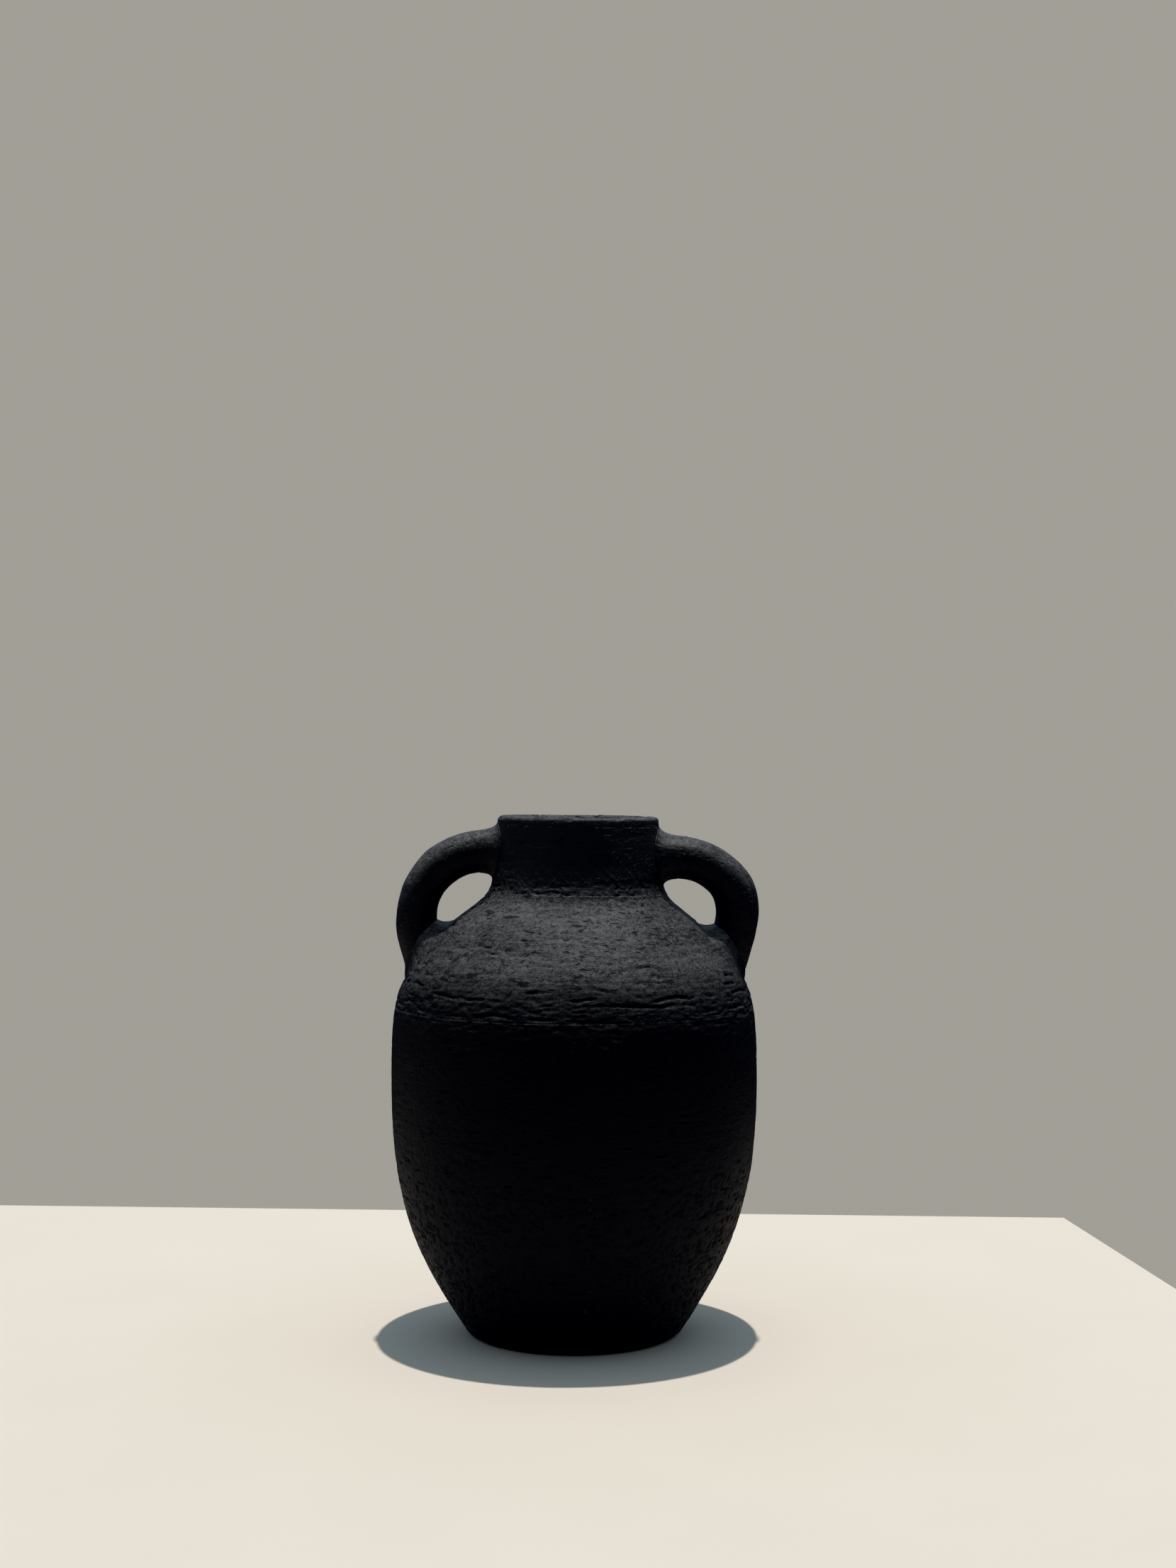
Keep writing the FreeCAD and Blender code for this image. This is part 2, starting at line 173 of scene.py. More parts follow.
def lattice(cell, seed):
    """A fixed number from -1 to 1 for each whole-number corner, by mixing its bits."""
    mixed = cell[..., 0] * 374761393 + cell[..., 1] * 668265263 + cell[..., 2] * 915488749
    mixed = (mixed + seed * 1274126177) & 0xFFFFFFFF
    mixed = ((mixed ^ (mixed >> 13)) * 1103515245) & 0xFFFFFFFF
    mixed = ((mixed ^ (mixed >> 15)) * 668265263) & 0xFFFFFFFF
    return ((mixed ^ (mixed >> 16)) & 0xFFFF) / 32767.5 - 1.0


def noise(points, size, seed):
    """Smooth noise from -1 to 1: points are divided by a size in millimetres along each
    axis, and the numbers at the eight corners of a point's cell are blended with weights
    that ease in and out."""
    place = points / (np.asarray(size, float) * MM) + seed * 17.31
    cell = np.floor(place).astype(np.int64)
    part = place - cell
    ease = part**3 * (part * (part * 6.0 - 15.0) + 10.0)
    total = 0.0
    for corner in np.ndindex(2, 2, 2):
        step = np.array(corner)
        weight = np.prod(np.where(step == 1, ease, 1.0 - ease), axis=-1)
        total = total + weight * lattice(cell + step, seed)
    return total


def rise(low, high, value):
    """0 at low and before it, 1 at high and past it, and an S curve between. High may be
    the smaller of the two."""
    part = np.clip((value - low) / (high - low), 0.0, 1.0)
    return part * part * (3.0 - 2.0 * part)


def hump(middle, half_width, value):
    """1 at the middle, falling off on both sides as a bell does."""
    return np.exp(-(((value - middle) / half_width) ** 2))


def crevices(points, levels):
    """How deep the open crevices run round the wall near each of some heights, from 0 to 1.
    Each one wanders up and down and closes up here and there."""
    height = points[..., 2] / MM
    around = points * [1.0, 1.0, 0.0]
    depth = 0.0 * height
    for number, level in enumerate(levels, start=61):
        wander = 1.6 * noise(around, (26, 26, 9), number)
        wander = wander + 0.8 * noise(around, (6, 6, 9), number + 10)
        gape = rise(-0.05, 0.45, noise(around, (15, 15, 9), number + 20))
        depth = np.maximum(depth, gape * hump(level + wander, 0.30 + 0.30 * gape, height))
    return depth


def twisted(points, turn):
    """Points turned about +Z by an angle that grows with height, in radians a metre."""
    angle = turn * points[..., 2]
    cosine, sine = np.cos(angle), np.sin(angle)
    x, y = points[..., 0], points[..., 1]
    return np.stack([x * cosine - y * sine, x * sine + y * cosine, points[..., 2]], axis=-1)


def wandering(points):
    """Points whose heights wander, so that whatever is level in them wanders on the wall."""
    wavy = points.copy()
    wavy[..., 2] += 1.6 * MM * noise(points, (34, 34, 60), 3)
    wavy[..., 2] += 0.7 * MM * noise(points, (9, 9, 20), 14)
    return wavy


def seam_relief(points, wavy):
    """The band over the seam, in millimetres: ridges, flakes and winding crevices."""
    height = points[..., 2] / MM
    flakes = 0.14 * noise(wavy, (5.5, 5.5, 1.9), 8)
    flakes = flakes - 0.22 * rise(0.1, 0.4, noise(points, (3.4, 3.4, 1.8), 15))
    ridges = 0.12 * hump(200.0, 8.0, height) * noise(wavy, (22, 22, 5.0), 16)
    ridges = ridges + hump(194.0, 12.0, height) * flakes
    return ridges - 1.15 * crevices(points, (192.0, 198.0, 201.5, 206.0, 211.0))


def neck_foot_relief(points):
    """The foot of the neck, in millimetres: clay that fills its crease and is scratched
    slantwise, and a hollow under it in front."""
    height = points[..., 2] / MM
    radius = np.maximum(np.hypot(points[..., 0], points[..., 1]), MM)
    front = np.maximum(-points[..., 1] / radius, 0.0)
    filled = (0.2 + 0.6 * front**2) * rise(250.0, 259.0, height) * rise(273.0, 259.0, height)
    hollow = 1.0 * front**2 * rise(236.0, 250.0, height) * rise(259.0, 250.0, height)
    scratches = 1.3 * noise(twisted(points, 19.0), (1.8, 1.8, 15), 17)
    scratches = scratches + 0.7 * noise(twisted(points, -14.0), (2.3, 2.3, 12), 18)
    return filled - hollow + 0.10 * hump(260.0, 10.0, height) * scratches


def wear(points, wavy):
    """How far the wall is worn away, in millimetres: clusters of level slits, fine level
    cracks, and pits that grow denser down the wall."""
    clusters = rise(-0.35, 0.35, noise(points, (34, 34, 22), 9))
    slits = clusters * rise(0.48, 0.62, noise(wavy, (9.0, 9.0, 1.5), 10))
    fine = rise(0.50, 0.68, noise(wavy, (4.0, 4.0, 1.1), 11))
    low_wall = 1.0 - rise(60.0, 140.0, points[..., 2] / MM)
    pits = rise(0.40 - 0.16 * low_wall, 0.66, noise(points, (2.1, 2.1, 1.7), 12))
    return (0.80 * slits + 0.30 * fine) + (0.16 + 0.60 * low_wall) * pits


def wall_relief(points):
    """How far the outside of the wall stands off its true outline, in metres.

    The sum of slow waves left by the hands, the band over the seam, the foot of the neck,
    and, less on the belly and least on the neck, strokes of a scraper, lumps and wear.
    """
    height = points[..., 2] / MM
    wavy = wandering(points)
    waves = 0.40 * noise(points, (75, 75, 48), 1) + 0.20 * noise(points, (30, 30, 18), 2)
    strokes = 0.08 * noise(wavy, (42, 42, 2.6), 4) + 0.05 * noise(wavy, (12, 12, 1.6), 5)
    lumps = 0.12 * noise(points, (3.2, 3.2, 2.8), 19) + 0.08 * noise(points, (1.4, 1.4, 1.2), 13)
    calm = 1.0 - 0.62 * rise(90.0, 130.0, height) * rise(202.0, 184.0, height)
    calm = calm * (1.0 - 0.85 * rise(256.0, 270.0, height))
    depth = waves + seam_relief(points, wavy) + neck_foot_relief(points)
    depth = depth + calm * (strokes + lumps - wear(points, wavy))
    return depth * MM * look().relief


def strap_relief(points):
    """How far a handle stands off its true section: slow dents left by the fingers, a
    little grain and a few pits."""
    dents = 0.55 * noise(points, (16, 16, 16), 21) + 0.14 * noise(points, (6, 6, 6), 22)
    pits = rise(0.58, 0.78, noise(points, (2.2, 2.2, 1.6), 23))
    grain = 0.035 * noise(points, (1.4, 1.4, 1.4), 24)
    return (dents - 0.22 * pits + grain) * MM * look().relief


def settle(points):
    """The hand-made set of the pot: its neck sits aside from the belly's axis, its belly
    and its lower wall sag a little to the left, and its lip falls to the right. The neck's
    shift and the lip's fall grow from nothing along S curves."""
    size = sizes()
    height = points[..., 2] / MM
    carried = rise(0.72, 0.92, points[..., 2] / LIP_TOP)
    tilted = rise(0.55, 1.0, points[..., 2] / LIP_TOP)
    sag = 0.35 * hump(150.0, 70.0, height) + 0.55 * hump(55.0, 40.0, height)
    moved = points.copy()
    moved[..., 0] += size.neck_shift * carried - sag * MM
    moved[..., 2] -= math.tan(size.lip_tilt) * tilted * points[..., 0]
    return moved


# Outline of the turned wall -------------------------------------------------------------


def span(start, pull, push, end, count=160):
    """Points of a cubic Bezier span, its last point left to the span that follows."""
    part = np.linspace(0.0, 1.0, count, endpoint=False)[:, None]
    poles = (np.array(pole, float) for pole in (start, pull, push, end))
    blend = ((1 - part) ** 3, 3 * part * (1 - part) ** 2, 3 * part**2 * (1 - part), part**3)
    return sum(weight * pole for weight, pole in zip(blend, poles))


def line(start, end, count=60):
    """Points of a straight line, its last point left out."""
    part = np.linspace(0.0, 1.0, count, endpoint=False)[:, None]
    return np.array(start) * (1 - part) + np.array(end) * part


def direction(lean):
    """A step up a wall that leans outward by an angle from vertical."""
    return np.array([math.sin(lean), math.cos(lean)])


def lip_spring():
    """The height at which the lip's rounded top springs from the wall."""
    return LIP_TOP - sizes().lip_crown


def outer_outline():
    """Radius and height from the middle of the foot to the spring of the lip."""
    size = sizes()
    foot = np.array([size.foot_radius, 0.0])
    up_foot = direction(size.foot_lean)
    belly = np.array([size.belly_radius, size.belly_height])
    slope = np.array([size.belly_radius - size.slope_inset, LIP_TOP - size.slope_drop])
    up_slope = direction(-size.slope_pitch)
    top = np.array([size.mouth_radius + size.lip_wall, lip_spring()])
    neck_run = size.neck_length - size.lip_crown
    neck = top + np.array([neck_run * math.tan(size.neck_lean), -neck_run])
    ground = foot - [size.foot_round, 0.0]
    edge = foot + size.foot_round * up_foot
    return np.vstack([
        line((0.0, 0.0), ground),
        span(ground, foot - [1.8 * MM, 0], foot + 1.8 * MM * up_foot, edge, 24),
        span(edge, foot + 54.0 * MM * up_foot, belly - [0, 72.4 * MM], belly),
        span(belly, belly + [0, 53.9 * MM], slope - 32.6 * MM * up_slope, slope),
        span(slope, slope + 21.5 * MM * up_slope, neck - 13.1 * MM * direction(-size.neck_lean),
             neck),
        line(neck, top),
        top[None],
    ])


def inner_outline():
    """Radius and height from the corner over the base up to the spring of the lip."""
    size = sizes()
    lean, pitch = size.foot_lean, size.slope_pitch
    up_foot, up_slope = direction(lean), direction(-pitch)
    corner = size.foot_radius + BASE_TOP * math.tan(lean) - size.wall / math.cos(lean)
    corner = np.array([corner, BASE_TOP])
    belly = np.array([size.belly_radius - size.wall, size.belly_height])
    slope = np.array([size.belly_radius - size.slope_inset, LIP_TOP - size.slope_drop])
    slope -= size.wall * np.array([math.cos(pitch), math.sin(pitch)])
    throat = LIP_TOP - size.neck_length - size.throat_drop
    throat = np.array([size.mouth_radius, throat])
    top = np.array([size.mouth_radius, lip_spring()])
    return np.vstack([
        span(corner, corner + 44.0 * MM * up_foot, belly - [0, 68.6 * MM], belly),
        span(belly, belly + [0, 46.3 * MM], slope - 32.6 * MM * up_slope, slope),
        span(slope, slope + 21.5 * MM * up_slope, throat - [0, 10.0 * MM], throat),
        line(throat, top),
        top[None],
    ])


def outer_radius(height):
    """The outline's radius at a height above the foot's rounding."""
    outline = outer_outline()
    outline = outline[outline[:, 1] > 0.0]
    return np.interp(height, outline[:, 1], outline[:, 0])


def resample(path, step, closer=0.0):
    """The path's points again, about one step apart. Around the seam they may be closer."""
    gaps = np.linalg.norm(np.diff(path, axis=0), axis=1)
    gaps = gaps * (1.0 + closer * hump(191.0, 14.0, path[1:, 1] / MM))
    run = np.concatenate([[0.0], np.cumsum(gaps)])
    stops = np.linspace(0.0, run[-1], max(3, int(round(run[-1] / step)) + 1))
    return np.column_stack([np.interp(stops, run, path[:, axis]) for axis in (0, 1)])


def between(outline, low, high):
    """The part of an outline between two points on it, both kept."""
    inside = (outline[:, 1] > low[1] + 1e-6) & (outline[:, 1] < high[1] - 1e-6)
    return np.vstack([low, outline[inside], high])


def meeting(outline, reference, height, bevel):
    """Where a joint that falls outwards through a reference point crosses an outline. The
    height is found by feeding the outline's radius back into the joint's line."""
    outline = outline[outline[:, 1] > 1e-9]
    z = height
    for _ in range(30):
        radius = np.interp(z, outline[:, 1], outline[:, 0])
        z = height + (reference - radius) * math.tan(bevel)
    return np.array([np.interp(z, outline[:, 1], outline[:, 0]), z])


# Meshes ---------------------------------------------------------------------------------


def make_mesh(name, points, poles=None):
    """A closed surface from a grid of points whose columns run round.

    Without poles its rows run round as well, so it is a ring. With two poles its first and
    last rows are closed with fans. Its faces are turned to face outwards by the sign of its
    volume, and its creases are kept sharp.
    """
    rows, columns = points.shape[:2]
    index = np.arange(rows * columns).reshape(rows, columns)
    beside = np.roll(index, -1, axis=1)
    last = rows if poles is None else rows - 1
    up, up_beside = np.roll(index, -1, axis=0)[:last], np.roll(beside, -1, axis=0)[:last]
    quads = np.stack([index[:last], beside[:last], up_beside, up], axis=-1).reshape(-1, 4)
    vertices = points.reshape(-1, 3)
    fans = np.zeros((0, 3), int)
    if poles is not None:
        bottom, top = len(vertices), len(vertices) + 1
        vertices = np.vstack([vertices, poles])
        around = np.full(columns, bottom), np.full(columns, top)
        fans = np.vstack([
            np.stack([around[0], beside[0], index[0]], axis=-1),
            np.stack([around[1], index[-1], beside[-1]], axis=-1),
        ])
    corners = vertices[quads]
    crossing = np.cross(corners[:, 2] - corners[:, 0], corners[:, 3] - corners[:, 1])
    if np.einsum("ij,ij->", corners.mean(axis=1), crossing) < 0.0:
        quads, fans = quads[:, ::-1], fans[:, ::-1]
    loops = np.concatenate([quads.ravel(), fans.ravel()])
    starts = np.concatenate([
        np.arange(len(quads)) * 4, quads.size + np.arange(len(fans)) * 3
    ])
    mesh = bpy.data.meshes.new(name)
    mesh.vertices.add(len(vertices))
    mesh.vertices.foreach_set("co", vertices.astype(np.float32).ravel())
    mesh.loops.add(len(loops))
    mesh.loops.foreach_set("vertex_index", loops.astype(np.int32))
    mesh.polygons.add(len(starts))
    mesh.polygons.foreach_set("loop_start", starts.astype(np.int32))
    mesh.update(calc_edges=True)
    mesh.shade_smooth()
    mesh.set_sharp_from_angle(angle=math.radians(64.0))
    return mesh


def add_piece(name, mesh, node, material):
    """Show a mesh in place of a CAD node, riding on the pot."""
    piece = bpy.data.objects.new(name, mesh)
    bpy.context.scene.collection.objects.link(piece)
    mesh.materials.append(material)
    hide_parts(node)
    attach(piece, "root")
    return piece


def slopes(path, corner=None, face_below=False):
    """The path's direction at each point. A joint's face takes the direction of the outside
    at their shared corner, so that pieces that meet are pushed alike. The upper face starts
    at the corner's place in the path. The face below, if any, ends the path."""
    slope = np.gradient(path, axis=0)
    if corner is not None:
        slope[corner:corner + FACE_POINTS + 1] = path[corner] - path[corner - 1]
    if face_below:
        slope[0] = path[1] - path[0]
        slope[-FACE_POINTS:] = slope[0]
    return slope


def turned_points(path, slope, weight, relief):
    """A path of radii and heights carried round the axis. Each point is pushed along the
    path's normal by the relief times the path's weight there."""
    slope = slope / np.maximum(np.linalg.norm(slope, axis=1, keepdims=True), 1e-9)
    normal = np.column_stack([slope[:, 1], -slope[:, 0]])
    turn = np.linspace(0.0, 2 * np.pi, sizes().columns, endpoint=False) + np.pi / 2
    around = np.stack([np.cos(turn), np.sin(turn)], axis=-1)
    radius = np.broadcast_to(path[:, None, 0], (len(path), len(turn)))
    height = np.broadcast_to(path[:, None, 1], radius.shape)
    true = np.dstack([radius[..., None] * around, height])
    push = relief(true) * weight[:, None]
    radius = np.maximum(radius + push * normal[:, None, 0], 0.0)
    height = height + push * normal[:, None, 1]
    return settle(np.dstack([radius[..., None] * around, height]))


def inner_relief(points):
    """Throwing rings: level ripples inside the wall, a little uneven."""
    rings = 0.30 * np.sin(points[..., 2] / (1.35 * MM) + noise(points, (50, 50, 30), 31))
    return (rings + 0.30 * noise(points, (40, 40, 20), 32)) * MM


def lip_relief(points):
    """The lip: the wall's relief outside, and an edge that waves slowly and is chipped."""
    right = rise(-10.0, 25.0, points[..., 0] / MM)
    chips = rise(0.42 - 0.32 * right, 0.62, noise(points, (6.5, 6.5, 4.0), 41))
    notches = rise(0.45, 0.62, noise(points, (2.4, 2.4, 2.0), 42))
    waves = 0.35 * noise(points, (24, 24, 30), 43)
    crown = rise(297.0, 299.3, points[..., 2] / MM)
    worn = waves - 0.60 * chips - 0.35 * notches + 0.10 * noise(points, (1.1, 1.1, 1.1), 44)
    return (1 - crown) * wall_relief(points) + crown * worn * MM * look().relief


def joints():
    """For each joint from the base up: where it crosses the outside and the inside."""
    size = sizes()
    outer, inner = outer_outline(), inner_outline()
    neck_top = size.mouth_radius + size.lip_wall
    places = [
        (inner[0, 0], BASE_TOP, size.base_bevel),
        (size.belly_radius, size.low_joint, size.course_bevel),
        (size.belly_radius, size.seam, size.course_bevel),
        (neck_top, LIP_TOP - size.collar_drop, size.course_bevel),
        (neck_top, LIP_TOP - size.coil_drop, size.course_bevel),
    ]
    found = [(meeting(outer, *place), meeting(inner, *place)) for place in places]
    found[0] = (found[0][0], inner[0])
    return found


def joint_face(start, end):
    """The points across the face of a joint, its starting corner left out."""
    return line(start, end, FACE_POINTS + 1)[1:]


def course_path(name):
    """The section of one course as a closed path: up its outside, in over the joint above,
    down its inside and out over the joint below. With it come its directions, how much
    relief each point has, and the place in the path where the inside begins."""
    size = sizes()
    outer, inner = outer_outline(), inner_outline()
    found = joints()
    number = COURSES.index(name)
    step = size.grid if name not in ("neck_collar", "lip_coil") else size.grid * 0.55
    below, above = found[number - 1], found[number] if number < len(found) else None
    outside = resample(between(outer, below[0], above[0] if above else outer[-1]), step, 0.9)
    inside = resample(between(inner, below[1], above[1] if above else inner[-1]), 4.0 * MM)
    if above:
        over = joint_face(above[0], above[1])
    else:
        top, bore = outer[-1], inner[-1]
        crown_pull = [0.0, size.lip_crown * 4 / 3]
        over = span(top, top + crown_pull, bore + crown_pull, bore, 26)[1:]
    under = joint_face(below[1], below[0])
    path = np.vstack([outside, over, inside[::-1], under])
    weight = np.concatenate([
        np.ones(len(outside)), np.linspace(1.0, 0.3 if above else 0.6, len(over)),
        np.full(len(inside), 0.3), np.linspace(0.3, 1.0, len(under)),
    ])
    slope = slopes(path, len(outside) - 1 if above else None, face_below=True)
    return path, slope, weight, len(outside) + len(over)


def course_points(name):
    """The grid of one course: outside relief on its outside, throwing rings inside."""
    path, slope, weight, inside = course_path(name)
    relief = lip_relief if name == "lip_coil" else wall_relief
    points = turned_points(path, slope, weight, relief)
    rings = turned_points(path, slope, np.ones(len(path)), inner_relief)
    under = len(path) - FACE_POINTS
    points[inside:under] = rings[inside:under]
    return points


def base_points():
    """The base disc: from its middle underneath, out round the foot, up to the joint and
    back in over its top. Its two ends are closed with poles."""
    outer, inner = outer_outline(), inner_outline()
    joint = joints()[0][0]
    ground = outer[outer[:, 1] < 1e-9]
    foot = outer[(outer[:, 1] >= 1e-9) & (outer[:, 1] < joint[1])]
    under = resample(ground, 3.0 * MM)[1:]
    edge = resample(np.vstack([ground[-1], foot, joint]), 0.7 * MM)[1:]
    over = joint_face(joint, inner[0])
    top = resample(np.vstack([inner[0], [2.0 * MM, BASE_TOP]]), 3.0 * MM)
    path = np.vstack([under, edge, over, top])
    weight = np.concatenate([
        np.zeros(len(under)), rise(0.0, 3.0 * MM, edge[:, 1]), np.linspace(1.0, 0.0, len(over)),
        np.zeros(len(top)),
    ])
    slope = slopes(path, corner=len(under) + len(edge) - 1)
    return turned_points(path, slope, weight, wall_relief)


# Handles --------------------------------------------------------------------------------

# A handle's thickness, its bend's radius, its drop from the lip and its inset from the belly's
# radius, how much fuller the bend is than an arc, and how deep, as a share of the section, the
# groove along its upper edges is
Handle = namedtuple("Handle", "thickness bend drop inset fuller groove")
HANDLES = {
    "left": Handle(24.0 * MM, 38.4 * MM, 21.4 * MM, 13.1 * MM, 0.4 * MM, 0.0),
    "right": Handle(25.0 * MM, 37.4 * MM, 23.4 * MM, 12.9 * MM, 2.0 * MM, 0.022),
}
LONGEST_STRAP = 150.0 * MM
SUNK_IN_NECK, SUNK_IN_SHOULDER = 3.5 * MM, 4.5 * MM


def strap_middle(side, run):
    """The middle line of a handle at a distance along it: level out from the neck, round
    the bend, then straight down and inwards. Returns radius, height and heading, which
    starts level and ends past straight down."""
    size, handle = sizes(), HANDLES[side]
    reach = size.belly_radius - handle.inset
    centre = np.array([reach - handle.bend, LIP_TOP - handle.drop - handle.bend])
    level = centre[0] - size.mouth_radius
    sweep = math.pi / 2 + size.heel_lean
    heading = np.clip((run - level) / handle.bend, 0.0, sweep)
    past = np.maximum(run - level - handle.bend * sweep, 0.0)
    before = np.minimum(run - level, 0.0)
    bend = handle.bend + handle.fuller * np.sin(heading * math.pi / sweep) ** 2
    radius = centre[0] + before + bend * np.sin(heading) + past * math.cos(sweep)
    height = centre[1] + bend * np.cos(heading) - past * math.sin(sweep)
    return radius, height, heading


def strap_surface(side, run, around):
    """A point of a handle's surface. The section is a rounded box: its reach along each of
    its two axes is a sine or cosine drawn towards 1 by a power. A groove may run along each
    upper edge, as where two strokes of wiping meet."""
    handle = HANDLES[side]
    radius, height, heading = strap_middle(side, run)
    cosine, sine = np.cos(around), np.sin(around)
    power = 2.0 / 2.4
    off = np.sign(cosine) * np.abs(cosine) ** power * handle.thickness / 2
    wide = np.sign(sine) * np.abs(sine) ** power * sizes().strap_width / 2
    from_top = np.abs(np.arctan2(sine, cosine))
    shrink = 1.0 - handle.groove * hump(math.radians(42.0), 0.13, from_top)
    off, wide = off * shrink, wide * shrink
    out = radius + off * np.sin(heading)
    up = height + off * np.cos(heading)
    return np.stack([SIDES[side] * out, -wide + 0.0 * out, up], axis=-1)


def strap_centre(side, run):
    """A point of a handle's middle line."""
    radius, height, _ = strap_middle(side, run)
    return np.stack([SIDES[side] * radius, 0.0 * radius, height], axis=-1)


def unit(steps):
    """Steps of any length made one long."""
    return steps / np.linalg.norm(steps, axis=-1, keepdims=True)


def strap_ends(side, around):
    """For each angle round a handle, the distances along it at which its surface leaves
    the neck and enters the shoulder: where its radius crosses the pot's outline."""
    run = np.linspace(0.0, LONGEST_STRAP, 900)
    grid = strap_surface(side, run[:, None], around[None, :])
    clear = np.hypot(grid[..., 0], grid[..., 1]) - outer_radius(grid[..., 2])
    outside = clear > 0.0
    first = np.argmax(outside, axis=0)
    last = len(run) - 1 - np.argmax(outside[::-1], axis=0)
    return run[first], run[last]


def strap_points(side):
    """The grid of a handle, from inside the neck's wall to inside the shoulder's, with the
    relief pushing each point away from the middle line."""
    around = np.linspace(0.0, 2 * np.pi, 168, endpoint=False)
    start, end = strap_ends(side, around)
    part = np.linspace(0.0, 1.0, 300)[:, None]
    run = (start - SUNK_IN_NECK) * (1 - part) + (end + SUNK_IN_SHOULDER) * part
    points = strap_surface(side, run, around[None, :])
    outward = unit(points - strap_centre(side, run))
    return points + outward * strap_relief(points)[..., None]


def on_wall(points, proud):
    """Points moved level to lie on the pot's outside, its relief included, and then
    proud of it by a distance."""
    radius = np.hypot(points[..., 0], points[..., 1])
    true = points.copy()
    scale = outer_radius(points[..., 2]) / radius
    true[..., 0] *= scale
    true[..., 1] *= scale
    grown = 1.0 + (wall_relief(true) + proud) / np.hypot(true[..., 0], true[..., 1])
    true[..., 0] *= grown
    true[..., 1] *= grown
    return true


def luting_reach(end, around, root):
    """For each angle round a handle: how far its luting climbs the strap, how far it spreads
    over the wall, and how full it is between. The lower luting reaches furthest under the
    handle and on its front and back."""
    ragged = noise(root, (9, 9, 9), 51) + 0.5 * noise(root, (3.5, 3.5, 3.5), 52)
    outer_side, inner_side = 0.5 + 0.5 * np.cos(around), 0.5 - 0.5 * np.cos(around)
    if end == "upper":
        climb = (9.0 + 5.0 * outer_side + 2.0 * ragged) * MM
        spread = (3.6 + 1.6 * outer_side + 0.8 * ragged) * MM
        return climb, spread, 0.1 * inner_side
    flank = np.sin(around) ** 2
    climb = (3.5 + 6.5 * inner_side + 2.5 * flank + 1.2 * ragged) * MM
    spread = (2.0 + 7.0 * inner_side + 5.0 * flank + 1.6 * ragged) * MM
    return climb, spread, 0.75 * inner_side**2 + 0.45 * flank


def luting_points(side, end):
    """The clay round one end of a handle: a skirt whose section is a closed loop.

    It leaves the strap a little above the crossing with the wall, follows a quadratic
    curve that is pulled towards the crossing, lands on the wall, and returns through the
    clay underneath.
    """
    around = np.linspace(0.0, 2 * np.pi, 220, endpoint=False)
    start, stop = strap_ends(side, around)
    crossing, sign = (start, 1.0) if end == "upper" else (stop, -1.0)
    root = strap_surface(side, crossing, around)
    climb, spread, fill = luting_reach(end, around, root)
    strap_top = strap_surface(side, crossing + sign * climb, around)
    away = unit(strap_top - strap_centre(side, crossing + sign * climb))
    normal = unit(np.stack([root[..., 0], root[..., 1], 0.0 * climb], axis=-1))
    if end == "lower":
        pitch = sizes().slope_pitch
        normal = normal * math.cos(pitch) + np.array([0.0, 0.0, math.sin(pitch)])
    along = unit(away - normal * np.sum(away * normal, axis=-1, keepdims=True))
    leave = strap_top + away * (strap_relief(strap_top) + 0.25 * MM)[..., None]
    land = on_wall(root + along * spread[..., None], 0.25 * MM)
    pulled = on_wall(root, 0.6 * MM) + away * 0.8 * MM
    pulled += ((leave + land) / 2 - pulled) * fill[..., None]
    part = np.linspace(0.0, 1.0, 16)[:, None, None]
    skirt = (1 - part) ** 2 * leave + 2 * part * (1 - part) * pulled + part**2 * land
    skin = (0.22 * noise(skirt, (4, 4, 4), 53) + 0.10 * noise(skirt, (1.5, 1.5, 1.5), 54)) * MM
    skirt = skirt + (away + normal)[None] * 0.7 * (skin * np.sin(np.pi * part[..., 0]))[..., None]
    buried_wall = on_wall(root + along * spread[..., None], -2.0 * MM)
    buried_root = on_wall(root, -2.5 * MM) - away * 2.0 * MM
    buried_strap = leave - away * 2.4 * MM
    back = np.stack([buried_wall, buried_root, buried_strap])
    return np.concatenate([skirt, back])


# Node trees -----------------------------------------------------------------------------


class Number:
    """A number's socket that takes part in Python expressions. Each operator adds the
    Math node that it stands for."""

    def __init__(self, shader, socket):
        self.shader = shader
        self.socket = socket

    def __add__(self, other):
        return self.shader.math("ADD", self, other)

    __radd__ = __add__

    def __sub__(self, other):
        return self.shader.math("SUBTRACT", self, other)

    def __rsub__(self, other):
        return self.shader.math("SUBTRACT", other, self)

    def __mul__(self, other):
        return self.shader.math("MULTIPLY", self, other)

    __rmul__ = __mul__

    def above(self, low, high):
        """0 below low and 1 above high, easing between."""
        settings = {"interpolation_type": "SMOOTHSTEP"}
        values = {"Value": self, "From Min": low, "From Max": high}
        return Number(self.shader, self.shader.node("ShaderNodeMapRange", settings, values)[0])


